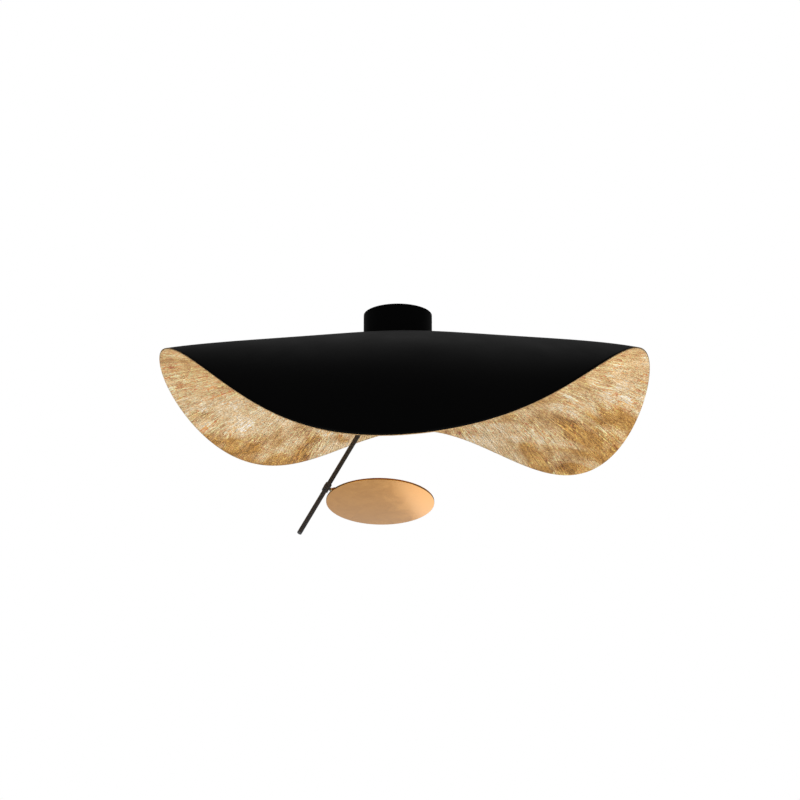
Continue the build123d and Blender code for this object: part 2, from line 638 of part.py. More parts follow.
TURN = radians(DISC_TURN)
TILT = radians(DISC_TILT)
LUG_OUT = SLIDER.x_dir * cos(TURN) + SLIDER.y_dir * sin(TURN)
CARRIER = Plane(origin=SLIDER.origin, x_dir=LUG_OUT, z_dir=ROD_UP)
HINGE_POINT = CARRIER.origin + LUG_OUT * HINGE_REACH
DISC_OUT = LUG_OUT * cos(TILT) + ROD_UP * sin(TILT)
DISC_UP = ROD_UP * cos(TILT) - LUG_OUT * sin(TILT)
HINGE = Plane(origin=HINGE_POINT, x_dir=DISC_OUT, z_dir=DISC_UP)
HINGE_AXIS = CARRIER.y_dir
DISC_CENTRE = HINGE_TO_RIM + DISC_DIAMETER / 2


def make_carrier_ring():
    """The ring that turns on the bush's neck, with the hinge's tongue."""
    ring = rod_of(RING_RADIUS, RING_UNDER, RING_HEIGHT)
    ring += Box(HINGE_REACH, HINGE_TONGUE, HINGE_EYE_DIAMETER, align=OUTWARDS)
    ring += across_y(HINGE_EYE_DIAMETER / 2, HINGE_TONGUE, HINGE_REACH, 0)
    ring -= Cylinder(NECK_RADIUS + RUNNING, 3 * RING_HEIGHT)
    ring -= across_y(PIN_RADIUS + RUNNING, 3 * HINGE_TONGUE, HINGE_REACH, 0)
    return CARRIER.location * ring


def make_hinge_pin():
    """The pin through the tongue, tight in the disc's two ears."""
    return HINGE.location * across_y(PIN_RADIUS, 2 * HINGE_HALF_WIDTH, 0, 0)


DISC_TOP = DISC_THICKNESS / 2
BOARD_UNDER = DISC_TOP - POCKET_DEPTH
BOARD_TOP = BOARD_UNDER + BOARD_THICKNESS
RIVET_X = HINGE_TO_RIM + CLIP_PLATE_LENGTH - RIVET_FROM_END


def make_disc_clip():
    """The brass bracket on the disc's upper face, with two ears for the hinge pin."""
    start = HINGE_EYE_DIAMETER / 2 + PARTING
    plate = Box(CLIP_PLATE_LENGTH, CLIP_PLATE_WIDTH, CLIP_PLATE_THICKNESS, align=OUT_STANDING)
    clip = Pos(start, 0, DISC_TOP) * plate
    arm_height = DISC_TOP + CLIP_PLATE_THICKNESS
    arm = Box(start + HINGE_EAR, HINGE_EAR, arm_height, align=OUT_STANDING)
    disc_space = Box(CLIP_PLATE_LENGTH, CLIP_PLATE_WIDTH, 2 * DISC_TOP, align=OUTWARDS)
    arm -= Pos(HINGE_TO_RIM - SLACK, 0, 0) * disc_space
    middle = (HINGE_TONGUE + HINGE_EAR) / 2 + SLACK
    for side in (-1, 1):
        clip += Pos(0, side * middle, 0) * (arm + across_y(HINGE_EYE_DIAMETER / 2, HINGE_EAR, 0, 0))
        clip -= Pos(RIVET_X, side * CLIP_PLATE_WIDTH / 4, 0) * Cylinder(RIVET_DIAMETER / 2, 4 * arm_height)
    return HINGE.location * (clip - across_y(PIN_RADIUS, 2 * CLIP_PLATE_WIDTH, 0, 0))


def make_disc_rivets():
    """Two rivets that hold the clip to the disc, blind from the disc's gold side."""
    rivets = []
    for side in (-1, 1):
        rivet = rod_of(RIVET_DIAMETER / 2, 0, DISC_TOP + CLIP_PLATE_THICKNESS)
        rivet += rod_of(RIVET_HEAD_DIAMETER / 2, DISC_TOP + CLIP_PLATE_THICKNESS, RIVET_HEAD_HEIGHT)
        rivets.append(Pos(RIVET_X, side * CLIP_PLATE_WIDTH / 4, 0) * rivet)
    return HINGE.location * Compound(rivets)


def disc_screw_places():
    """Places of the bezel's screws, midway between the lens's flange and the pocket's wall."""
    return PolarLocations((LENS_DIAMETER / 2 + LENS_FLANGE + POCKET_RADIUS) / 2, DISC_SCREWS, 60)


def make_disc_plate():
    """The turned aluminium disc, with a pocket for the board on its upper side."""
    plate = Cylinder(DISC_DIAMETER / 2, DISC_THICKNESS)
    plate = chamfer(plate.edges(), DISC_EDGE)
    plate -= rod_of(POCKET_RADIUS, DISC_TOP - POCKET_DEPTH, DISC_THICKNESS)
    for place in disc_screw_places():
        plate -= place * rod_of(DISC_SCREW_DIAMETER / 2, BOARD_UNDER - BEZEL_SCREW_BITE, DISC_THICKNESS)
    for side in (-1, 1):
        rivet_hole = rod_of(RIVET_DIAMETER / 2, 0, DISC_THICKNESS)
        plate -= Pos(RIVET_X - DISC_CENTRE, side * CLIP_PLATE_WIDTH / 4, 0) * rivet_hole
    return HINGE.location * Pos(DISC_CENTRE, 0, 0) * plate


def make_led_board():
    """The aluminium-backed board, round, on the pocket's floor."""
    board = rod_of(BOARD_DIAMETER / 2, BOARD_UNDER, BOARD_THICKNESS)
    for place in PolarLocations(BOARD_DIAMETER / 2 - BOARD_HOLE_TO_RIM, BOARD_HOLES, 45):
        board -= place * Cylinder(BOARD_HOLE_DIAMETER / 2, 9 * BOARD_THICKNESS)
    return HINGE.location * Pos(DISC_CENTRE, 0, 0) * board


def make_led_chip():
    """The round light source on the board."""
    chip = rod_of(CHIP_DIAMETER / 2, BOARD_TOP, CHIP_THICKNESS)
    chip = chamfer(chip.edges().group_by(Axis.Z)[-1], CHIP_THICKNESS / 3)
    return HINGE.location * Pos(DISC_CENTRE, 0, 0) * chip


def make_lens():
    """The frosted cover over the light source, slightly domed, with a flange under the bezel."""
    radius = LENS_DIAMETER / 2
    top = LENS_SKIRT + LENS_RISE
    sphere_radius = (radius**2 + LENS_RISE**2) / (2 * LENS_RISE)
    dome = rod_of(radius, 0, top) & Pos(0, 0, top - sphere_radius) * Sphere(sphere_radius)
    dome += rod_of(radius + LENS_FLANGE, 0, LENS_FLANGE_THICKNESS)
    dome -= rod_of(radius - LENS_WALL, -1, 1 + LENS_SKIRT - LENS_WALL / 2)
    return HINGE.location * Pos(DISC_CENTRE, 0, BOARD_UNDER) * dome


def make_bezel():
    """The ring that holds the lens's flange down in the pocket."""
    top = LENS_FLANGE_THICKNESS + BEZEL_THICKNESS
    bezel = tube(POCKET_RADIUS - SLACK, LENS_DIAMETER / 2 + SLACK, 0, top)
    bezel -= rod_of(LENS_DIAMETER / 2 + LENS_FLANGE + SLACK, -1, 1 + LENS_FLANGE_THICKNESS)
    for place in disc_screw_places():
        bezel -= place * Cylinder(DISC_SCREW_DIAMETER / 2, 4 * top)
    return HINGE.location * Pos(DISC_CENTRE, 0, BOARD_UNDER) * bezel


def make_bezel_screws():
    """Pan-head screws through the bezel into the disc."""
    screws = []
    top = LENS_FLANGE_THICKNESS + BEZEL_THICKNESS
    for place in disc_screw_places():
        screw = rod_of(DISC_SCREW_DIAMETER / 2, -BEZEL_SCREW_BITE, top + BEZEL_SCREW_BITE)
        screw += rod_of(BEZEL_SCREW_HEAD / 2, top, BEZEL_HEAD_HEIGHT)
        slot = Box(2 * BEZEL_SCREW_HEAD, SMALL_SLOT, 2 * SMALL_SLOT_DEPTH)
        screw -= Pos(0, 0, top + BEZEL_HEAD_HEIGHT) * slot
        screws.append(Pos(DISC_CENTRE, 0, BOARD_UNDER) * place * screw)
    return HINGE.location * Compound(screws)


PIECES = {
    "ceiling_bracket": make_bracket,
    "canopy_cup": make_canopy,
    "canopy_grub_screws": make_grub_screws,
    "cable_grommet": make_grommet,
    "led_driver": make_driver,
    "driver_screws": make_driver_screws,
    "terminal_block": make_terminal_block,
    "terminal_screws": make_terminal_screws,
    "earth_lug": make_earth_lug,
    "earth_screw": make_earth_screw,
    "hollow_bolt": make_hollow_bolt,
    "lock_nut": make_lock_nut,
    "lock_washer": make_lock_washer,
    "clamp_washer": make_clamp_washer,
    "shade_sheet": make_shade,
    "friction_washer": make_friction_washer,
    "swivel_fork": make_swivel_fork,
    "swivel_clip": make_swivel_clip,
    "tilt_screw": make_tilt_screw,
    "tilt_nut": make_tilt_nut,
    "rod_eye": make_rod_eye,
    "rod_tube": make_rod_tube,
    "rod_insulator": make_rod_insulator,
    "rod_core": make_rod_core,
    "rod_plug": make_rod_plug,
    "slider_bush": make_slider_bush,
    "slider_cap": make_slider_cap,
    "slider_grub": make_slider_grub,
    "contact_finger": make_contact_finger,
    "carrier_ring": make_carrier_ring,
    "hinge_pin": make_hinge_pin,
    "disc_clip": make_disc_clip,
    "disc_rivets": make_disc_rivets,
    "disc_plate": make_disc_plate,
    "led_board": make_led_board,
    "led_chip": make_led_chip,
    "lens_dome": make_lens,
    "lens_bezel": make_bezel,
    "bezel_screws": make_bezel_screws,
}

os.makedirs("parts", exist_ok=True)
for name, make in PIECES.items():
    export_step(make(), f"parts/{name}.step")

print("swivel axis through", (0, 0, 0), "along", (0, 0, 1))
print("tilt pivot", PIVOT, "axis", TILT_AXIS)
print("rod direction, up", ROD_UP, "slider at", SLIDER.origin)
print("hinge point", HINGE_POINT, "axis", HINGE_AXIS)
print("disc centre", HINGE.origin + DISC_OUT * DISC_CENTRE, "disc up", DISC_UP)
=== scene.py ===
import json
from math import atan2, cos, pi, radians, sin, sqrt

import bmesh
import bpy
from mathutils import Matrix, Vector


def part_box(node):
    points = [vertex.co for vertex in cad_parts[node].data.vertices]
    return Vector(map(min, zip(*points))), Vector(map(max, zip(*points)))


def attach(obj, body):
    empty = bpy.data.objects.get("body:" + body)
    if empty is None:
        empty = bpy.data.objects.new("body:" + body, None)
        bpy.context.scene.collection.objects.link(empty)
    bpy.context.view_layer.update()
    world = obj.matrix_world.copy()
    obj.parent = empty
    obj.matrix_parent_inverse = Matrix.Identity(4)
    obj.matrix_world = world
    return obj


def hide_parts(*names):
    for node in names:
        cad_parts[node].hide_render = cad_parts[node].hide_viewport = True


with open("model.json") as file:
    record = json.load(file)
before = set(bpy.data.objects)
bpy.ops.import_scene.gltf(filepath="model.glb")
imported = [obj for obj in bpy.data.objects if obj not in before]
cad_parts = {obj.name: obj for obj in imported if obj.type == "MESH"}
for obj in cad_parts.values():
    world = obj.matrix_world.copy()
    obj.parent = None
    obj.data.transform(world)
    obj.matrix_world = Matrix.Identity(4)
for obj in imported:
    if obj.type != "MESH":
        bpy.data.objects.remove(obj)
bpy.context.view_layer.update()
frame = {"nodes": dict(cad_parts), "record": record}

# The shade: one rounded sheet of thin aluminium, bent by hand over a form into hanging lobes. It is
# sprayed with satin black lacquer outside, and crinkled gold leaf is laid inside, right up to the
# cut edge. It is made from its bolt hole outwards, ring by ring. RIM_DROPS go round from the front.
CROWN = -0.055
SHEET = 0.0015
SHEET_HOLE = 0.0051
CROWN_RADIUS = 0.046
PLAN_WIDTH = 0.596
PLAN_DEPTH = 0.548
PLAN_SHIFT_X = 0.008
PLAN_SHIFT_Y = 0.004
RIM_DROPS = [0.182, 0.141, 0.045, 0.028, 0.092, 0.052, 0.007, 0.063, 0.055, 0.011, 0.046, 0.146]
EASY_SHOULDER = 0.55
FRONT_SHOULDER = 0.8
SHEET_SECTORS = 288
CROWN_RINGS = 6
SHEET_RINGS = 56


def drop_towards(direction):
    """How far the rim hangs below the crown in one direction, from the front towards the right."""
    count = len(RIM_DROPS)
    total = 0
    for place, value in enumerate(RIM_DROPS):
        away = direction - 2 * pi * place / count
        weight = 1 + cos(count / 2 * away)
        for order in range(1, count // 2):
            weight += 2 * cos(order * away)
        total += value * weight / count
    return total


def rim_reach(direction):
    """How far the oval rim is from the canopy's axis, in plan."""
    across, along = PLAN_WIDTH / 2, PLAN_DEPTH / 2
    east, north = sin(direction), -cos(direction)
    square = (east / across) ** 2 + (north / along) ** 2
    half = east * PLAN_SHIFT_X / across**2 + north * PLAN_SHIFT_Y / along**2
    rest = (PLAN_SHIFT_X / across) ** 2 + (PLAN_SHIFT_Y / along) ** 2 - 1
    return (half + sqrt(half * half - square * rest)) / square


def sheet_point(direction, share):
    """A point of the sheet's upper face, from the flat crown (0) to the rim (1)."""
    facing_front = (1 + cos(direction)) / 2
    shoulder = EASY_SHOULDER + (FRONT_SHOULDER - EASY_SHOULDER) * facing_front
    run = rim_reach(direction) - CROWN_RADIUS
    radius = CROWN_RADIUS + run * (2 * share * (1 - share) * shoulder + share**2)
    height = CROWN - share**2 * drop_towards(direction)
    return Vector((radius * sin(direction), -radius * cos(direction), height))


def crown_point(spot, radius):
    """A point of the flat crown, in the direction of a spot."""
    return Vector((spot.x, spot.y, 0)).normalized() * radius + Vector((0, 0, CROWN))


def extrude_ring(mesh, ring, move):
    """Extrudes a ring of edges and moves each new point to where move says."""
    made = bmesh.ops.extrude_edge_only(mesh, edges=ring)["geom"]
    for vert in made:
        if isinstance(vert, bmesh.types.BMVert):
            vert.co = move(vert.co)
    return [edge for edge in made if isinstance(edge, bmesh.types.BMEdge) and edge.is_boundary]


def show(name, mesh, materials, body):
    """Makes the finished mesh an object that rides on a body and takes a finish."""
    data = bpy.data.meshes.new(name)
    mesh.to_mesh(data)
    mesh.free()
    for material in materials:
        data.materials.append(material)
    piece = bpy.data.objects.new(name, data)
    bpy.context.scene.collection.objects.link(piece)
    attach(piece, body)
    return piece


def smooth(mesh):
    """Shades every face of a mesh as part of one curve."""
    for face in mesh.faces:
        face.smooth = True


def new_finish(name, color, roughness, metallic=0.0):
    """A material with its shader, ready for its own nodes."""
    material = bpy.data.materials.new(name)
    material.use_nodes = True
    shader = material.node_tree.nodes["Principled BSDF"]
    shader.inputs["Base Color"].default_value = (*color, 1)
    shader.inputs["Roughness"].default_value = roughness
    shader.inputs["Metallic"].default_value = metallic
    return material


def node(material, kind, settings=None, **links):
    """Adds a node. A setting is a number, colour or choice. A link is another node's socket, led to
    the socket that it is named for: i0 is the first one."""
    made = material.node_tree.nodes.new(kind)
    for key, value in (settings or {}).items():
        if isinstance(key, str) and hasattr(made, key):
            setattr(made, key, value)
        else:
            made.inputs[key].default_value = value
    for key, socket in links.items():
        target = int(key[1:]) if key[1:].isdigit() else key
        material.node_tree.links.new(socket, made.inputs[target])
    return made


def ramp(material, socket, stops):
    """A colour ramp over a factor, from its places and colours."""
    made = node(material, "ShaderNodeValToRGB", i0=socket)
    while len(made.color_ramp.elements) < len(stops):
        made.color_ramp.elements.new(0.5)
    for element, (place, color) in zip(made.color_ramp.elements, stops):
        element.position = place
        element.color = (*color, 1) if len(color) == 3 else color
    return made.outputs["Color"]


def into(material, name, socket):
    """Leads a pattern into one of the shader's own sockets."""
    material.node_tree.links.new(socket, material.node_tree.nodes["Principled BSDF"].inputs[name])


def bump(material, height, strength, distance, under=None):
    """A bump from a height, on top of another bump where one is given."""
    made = node(material, "ShaderNodeBump", {"Strength": strength, "Distance": distance}, Height=height)
    if under:
        material.node_tree.links.new(under, made.inputs["Normal"])
    return made.outputs["Normal"]


def place_on_piece(material):
    """Where a point lies on the object, in metres."""
    return node(material, "ShaderNodeTexCoord").outputs["Object"]


def noise(material, vector, scale, detail=3.0, distortion=0.0):
    """An even cloud. Its scale is in waves to a metre, or to a unit of the map it is on."""
    settings = {"Scale": scale, "Detail": detail, "Distortion": distortion}
    return node(material, "ShaderNodeTexNoise", settings, Vector=vector).outputs["Fac"]


def blend(material, share, first, second, mode="MIX"):
    """Mixes two colours by a share, which is a socket or a plain number. Colours go into sockets 6
    and 7 of a Mix node, and come out of its third."""
    settings = {"data_type": "RGBA", "blend_type": mode}
    if isinstance(share, float):
        return node(material, "ShaderNodeMix", {**settings, 0: share}, i6=first, i7=second).outputs[2]
    return node(material, "ShaderNodeMix", settings, i0=share, i6=first, i7=second).outputs[2]


def grey(*stops):
    """Stops of a colour ramp that run through greys."""
    return [(place, (value, value, value)) for place, value in stops]


def black_lacquer(name, roughness=0.36, shine=0.05, tone=0.001):
    """Sprayed satin black: a very slight orange peel and small changes of gloss."""
    material = new_finish(name, (tone, tone, tone * 1.05), roughness)
    material.node_tree.nodes["Principled BSDF"].inputs["Specular IOR Level"].default_value = shine
    where = place_on_piece(material)
    peel = noise(material, where, 900, 2)
    into(material, "Normal", bump(material, peel, 0.05, 0.0002))
    haze = noise(material, where, 22, 3)
    into(material, "Roughness", ramp(material, haze, grey((0.3, roughness - 0.03), (0.7, roughness + 0.05))))
    return material


# Each gold is a ramp from the leaf's thin brown places to its bright ones. The leaf has painted shade low on
# the lobes, painted light that makes it paler half way up, and is redder at the high tips. Heights are in
# metres below the ceiling.
RICH_GOLD = [(0.32, (0.42, 0.2, 0.045)), (0.5, (0.57, 0.3, 0.08)), (0.68, (0.78, 0.46, 0.15))]
PALE_GOLD = [(0.32, (0.72, 0.47, 0.22)), (0.5, (0.88, 0.65, 0.38)), (0.66, (0.98, 0.8, 0.55))]
RED_GOLD = [(0.36, (0.58, 0.29, 0.08)), (0.64, (0.88, 0.54, 0.19))]
# The heights over which the leaf goes from painted shade below to painted light above.
PAINTED_LIGHT_FROM, PAINTED_LIGHT_TO = -0.14, -0.09
TIPS_FROM, TIPS_TO = -0.085, -0.068
CREASES_ROUND = 46.0
CREASES_OUT = 20.0


def gold_leaf():
    """Leaf laid on size and brushed outwards: short creases and fine crinkles with painted highlights and
    painted shadows, and pale clouds.
    """
    material = new_finish("gold_leaf", (0.6, 0.36, 0.15), 0.4, 0.7)
    blank = node(material, "ShaderNodeUVMap", {"uv_map": "blank"}).outputs["UV"]
    away = node(material, "ShaderNodeVectorMath", {"operation": "NORMALIZE"}, i0=blank).outputs[0]
    reach = node(material, "ShaderNodeVectorMath", {"operation": "LENGTH"}, i0=blank).outputs["Value"]

    def brushed(around, along):
        """A place on the leaf, stretched along the brush's way from the crown to the rim."""
        stretch = {"operation": "SCALE", "Scale": around}
        fan = node(material, "ShaderNodeVectorMath", stretch, i0=away).outputs[0]
        far = node(material, "ShaderNodeMath", {"operation": "MULTIPLY", 1: along}, i0=reach).outputs[0]
        rise = node(material, "ShaderNodeCombineXYZ", Z=far).outputs[0]
        return node(material, "ShaderNodeVectorMath", {"operation": "ADD"}, i0=fan, i1=rise).outputs[0]

    def paint_fold_light_and_shade(cloud, width, dark, lit):
        """Paints a cloud's middle line as a sharp fold, with a painted shadow on one side and a painted
        highlight on the other.
        """
        sides = grey((0.5 - width, 0.5), (0.492, dark), (0.508, lit), (0.5 + width, 0.5))
        return ramp(material, cloud, sides)

    def rising(low, high, start, end):
        """Goes from one value to another between two heights."""
        settings = {"From Min": low, "From Max": high, "To Min": start, "To Max": end}
        return node(material, "ShaderNodeMapRange", settings, i0=height).outputs[0]

    height = node(material, "ShaderNodeSeparateXYZ", i0=place_on_piece(material)).outputs["Z"]
    thickness = noise(material, blank, scale=30, detail=6, distortion=1.0)
    bunches = noise(material, blank, scale=16, detail=3, distortion=0.5)
    creases = noise(material, brushed(CREASES_ROUND, CREASES_OUT), scale=1.0, detail=2, distortion=1.3)
    crinkles = noise(material, blank, scale=150, detail=4, distortion=1.2)
    grain = noise(material, blank, scale=380, detail=4, distortion=0.8)
    clouds = noise(material, blank, scale=9, detail=5, distortion=1.0)
    # Painted light and shade: the pale clouds spread on the high parts of the lobes and shrink on the low
    # ones.
    painted_light_by_height = rising(PAINTED_LIGHT_FROM, PAINTED_LIGHT_TO, -0.12, 0.12)
    clouds = node(material, "ShaderNodeMath", {"operation": "ADD"}, i0=clouds, i1=painted_light_by_height).outputs[0]

    color = ramp(material, thickness, RICH_GOLD)
    pale = ramp(material, thickness, PALE_GOLD)
    color = blend(material, ramp(material, clouds, grey((0.46, 0.0), (0.58, 0.9))), color, pale)
    color = blend(material, rising(TIPS_FROM, TIPS_TO, 0.0, 0.6), color, ramp(material, thickness, RED_GOLD))
    speckle = ramp(material, grain, grey((0.36, 0.2), (0.5, 0.5), (0.66, 0.92)))
    color = blend(material, 0.5, color, speckle, "OVERLAY")
    # Painted highlights and painted shadows along the fine crinkles.
    color = blend(material, 0.8, color, paint_fold_light_and_shade(crinkles, 0.06, 0.3, 0.8), "OVERLAY")
    # Painted highlights and painted shadows along the creases, where they bunch.
    share = ramp(material, bunches, grey((0.42, 0.15), (0.52, 1.0)))
    color = blend(material, share, color, paint_fold_light_and_shade(creases, 0.07, 0.08, 1.0), "OVERLAY")
    into(material, "Base Color", color)
    into(material, "Roughness", ramp(material, grain, grey((0.35, 0.46), (0.65, 0.28))))
    relief = bump(material, creases, strength=0.8, distance=0.012)
    relief = bump(material, crinkles, strength=0.6, distance=0.004, under=relief)
    into(material, "Normal", bump(material, grain, strength=0.8, distance=0.002, under=relief))
    return material


def cut_edge():
    """The sheet's cut edge, where the leaf is wrapped over and burnished."""
    material = new_finish("cut_edge", (0.5, 0.32, 0.14), 0.4, 0.85)
    rub = noise(material, place_on_piece(material), 260, 3)
    into(material, "Base Color", ramp(material, rub, [(0.35, (0.34, 0.19, 0.07)), (0.6, (0.6, 0.4, 0.18))]))
    return material


# Each point keeps how far it lies from the middle along the sheet, which is where it was on the flat
# blank. The leaf is laid out on that flat map, and the wall is thickened downwards afterwards.
sheet_mesh = bmesh.new()
travelled = sheet_mesh.verts.layers.float.new("travelled")
bmesh.ops.create_circle(sheet_mesh, segments=SHEET_SECTORS, radius=SHEET_HOLE)
bmesh.ops.translate(sheet_mesh, vec=(0, 0, CROWN), verts=sheet_mesh.verts)
for vert in sheet_mesh.verts:
    vert[travelled] = SHEET_HOLE
ring = sheet_mesh.edges[:]
for step in range(1, CROWN_RINGS + 1):
    radius = CROWN_RADIUS * step / CROWN_RINGS
    ring = extrude_ring(sheet_mesh, ring, lambda spot: crown_point(spot, radius))
    for vert in {vert for edge in ring for vert in edge.verts}:
        vert[travelled] = radius
for step in range(1, SHEET_RINGS + 1):
    share = step / SHEET_RINGS
    ring = extrude_ring(sheet_mesh, ring, lambda spot: sheet_point(atan2(spot.x, -spot.y), share))
    for vert in {vert for edge in ring for vert in edge.verts}:
        inner = min((edge.other_vert(vert) for edge in vert.link_edges if not edge.is_boundary),
                    key=lambda other: (other.co - vert.co).length)
        vert[travelled] = inner[travelled] + (vert.co - inner.co).length
blank_map = sheet_mesh.loops.layers.uv.new("blank")
for face in sheet_mesh.faces:
    for loop in face.loops:
        direction = atan2(loop.vert.co.x, -loop.vert.co.y)
        length = loop.vert[travelled]
        loop[blank_map].uv = (length * sin(direction), -length * cos(direction))
smooth(sheet_mesh)
bmesh.ops.recalc_face_normals(sheet_mesh, faces=sheet_mesh.faces)
if sum(face.normal.z for face in sheet_mesh.faces) < 0:
    bmesh.ops.reverse_faces(sheet_mesh, faces=sheet_mesh.faces)
shade = show("shade", sheet_mesh, [black_lacquer("lacquer_outside"), gold_leaf(), cut_edge()], "fixture")
wall = shade.modifiers.new("sheet", "SOLIDIFY")
wall.thickness = SHEET
wall.offset = -1
wall.use_even_offset = True
wall.use_rim = True
wall.material_offset = 1
wall.material_offset_rim = 2
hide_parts("shade_sheet")

# The canopy: a deep-drawn steel cup, sprayed in the same black as the sheet. It hides the
# bracket, the driver and the wiring, and the hollow bolt clamps the sheet under its floor.
CANOPY_RADIUS = 0.042
CANOPY_WALL = 0.0015
CANOPY_EDGE = 0.002
CANOPY_INNER_EDGE = 0.001
CANOPY_LIP = 0.0002
CANOPY_WEAR = 0.0003
SHARP = radians(35)
ROUND_STEPS = 120
SAME_POINT = 1e-6


def turned(outline, closed, steps=ROUND_STEPS):
    """Spins an outline of radius and height round the Z axis."""
    mesh = bmesh.new()
    verts = [mesh.verts.new((radius, 0, height)) for radius, height in outline]
    pairs = zip(verts, verts[1:] + verts[:1] if closed else verts[1:])
    edges = [mesh.edges.new(pair) for pair in pairs]
    bmesh.ops.spin(mesh, geom=verts + edges, axis=(0, 0, 1), angle=2 * pi, steps=steps, use_merge=True)
    bmesh.ops.remove_doubles(mesh, verts=mesh.verts, dist=SAME_POINT)
    bmesh.ops.recalc_face_normals(mesh, faces=mesh.faces)
    smooth(mesh)
    return mesh


def arc(centre_radius, centre_height, radius, start, end, steps=8):
    """Points of an outline along a round edge, with angles in degrees from straight out."""
    angles = [radians(start + (end - start) * step / steps) for step in range(steps + 1)]
    return [(centre_radius + radius * cos(turn), centre_height + radius * sin(turn)) for turn in angles]


def soften(piece, width, segments=2):
    """A small worn edge wherever faces meet sharply."""
    edge = piece.modifiers.new("edge", "BEVEL")
    edge.width = width
    edge.segments = segments
    edge.limit_method = "ANGLE"
    edge.angle_limit = SHARP
    edge.harden_normals = True


canopy_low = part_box("canopy_cup")[0][2]
canopy_floor = canopy_low + CANOPY_WALL
outline = [(SHEET_HOLE, canopy_floor), (SHEET_HOLE, canopy_low)]
outline += arc(CANOPY_RADIUS - CANOPY_EDGE, canopy_low + CANOPY_EDGE, CANOPY_EDGE, -90, 0)
outline += [(CANOPY_RADIUS, -CANOPY_LIP), (CANOPY_RADIUS - CANOPY_LIP, 0), (CANOPY_RADIUS - CANOPY_WALL, 0)]
outline += arc(CANOPY_RADIUS - CANOPY_WALL - CANOPY_INNER_EDGE, canopy_floor + CANOPY_INNER_EDGE,
               CANOPY_INNER_EDGE, 0, -90, 4)
canopy = show("canopy", turned(outline, True), [black_lacquer("lacquer_canopy", 0.4)], "fixture")
soften(canopy, CANOPY_WEAR)
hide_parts("canopy_cup")


# What the canopy holds: bracket, driver, terminal, earth, bolt, nut, screws and washers, shaped as
# in the CAD. They have the finishes of bought parts: dull zinc plate, blackened steel, turned
# brass, moulded nylon and soft rubber. The friction washer lies under the sheet, on the bolt.
def paint(material, *nodes):
    """Gives CAD pieces a finish, and takes away what they came with."""
    for name in nodes:
        data = frame["nodes"][name].data
        data.materials.clear()
        data.materials.append(material)


def zinc_plate():
    """Dull passivated zinc, with a fine grey spangle."""
    material = new_finish("zinc_plate", (0.6, 0.6, 0.6), 0.38, 1.0)
    spangle = noise(material, place_on_piece(material), 420, 4, 0.4)
    shades = [(0.35, (0.45, 0.46, 0.47)), (0.65, (0.7, 0.71, 0.7))]
    into(material, "Base Color", ramp(material, spangle, shades))
    into(material, "Roughness", ramp(material, spangle, grey((0.3, 0.3), (0.7, 0.5))))
    return material


def blackened_steel():
    """Oiled black oxide on screws, rubbed a little on the edges."""
    material = new_finish("blackened_steel", (0.02, 0.02, 0.022), 0.4, 0.8)
    rub = noise(material, place_on_piece(material), 700, 4)
    shades = [(0.4, (0.012, 0.012, 0.014)), (0.75, (0.05, 0.05, 0.052))]
    into(material, "Base Color", ramp(material, rub, shades))
    return material


def turned_brass():
    """Bare brass from the lathe, gone slightly brown in the hollows."""
    material = new_finish("turned_brass", (0.75, 0.53, 0.24), 0.3, 1.0)
    where = place_on_piece(material)
    age = noise(material, where, 300, 4)
    shades = [(0.35, (0.55, 0.35, 0.13)), (0.65, (0.85, 0.64, 0.32))]
    into(material, "Base Color", ramp(material, age, shades))
    into(material, "Normal", bump(material, noise(material, where, 2600, 2), 0.08, 0.0001))
    return material


def moulded(name, color, roughness):
    """Moulded plastic with a spark-eroded grain."""
    material = new_finish(name, color, roughness)
    where = place_on_piece(material)
    into(material, "Normal", bump(material, noise(material, where, 1500, 2), 0.12, 0.0002))
    shades = [(0.3, tuple(part * 0.93 for part in color)), (0.7, color)]
    into(material, "Base Color", ramp(material, noise(material, where, 60, 2), shades))
    return material


brass = turned_brass()
zinc = zinc_plate()
dark_screw = blackened_steel()
nylon = moulded("natural_nylon", (0.8, 0.77, 0.68), 0.5)
paint(zinc, "ceiling_bracket", "driver_screws", "earth_screw", "lock_nut", "lock_washer")
paint(dark_screw, "canopy_grub_screws", "hollow_bolt")
paint(brass, "terminal_screws", "earth_lug")
paint(nylon, "terminal_block", "friction_washer")
paint(moulded("driver_case", (0.8, 0.8, 0.78), 0.45), "led_driver")
paint(moulded("grommet_rubber", (0.018, 0.018, 0.018), 0.75), "cable_grommet")

# The swivel head, under the black washer that clamps the sheet: a small fork on a hollow spigot that
# turns in the bolt, held by a clip. A screw goes through its cheeks, and a knurled nut sets the drag.
satin_black = black_lacquer("lacquer_small", 0.4, 0.45, 0.028)
paint(satin_black, "clamp_washer", "swivel_fork")
paint(zinc, "swivel_clip")
paint(dark_screw, "tilt_screw", "tilt_nut")

# The rod: a thin drawn tube, 5.5 mm across, in satin black, with a flat eye on top. A slot down its
# hidden side lets the slider's contact reach the core in its lining, and a plug closes its lower end.
paint(satin_black, "rod_eye", "rod_tube", "rod_plug")
paint(nylon, "rod_insulator")
paint(brass, "rod_core")

# The slider and the carrier: a small turned bush with a cap, which a grub screw holds on the rod, and
# the ring that turns between them and carries the hinge. A brass finger inside feeds the disc.
paint(satin_black, "slider_bush", "slider_cap", "carrier_ring")
paint(dark_screw, "slider_grub")
paint(brass, "contact_finger")

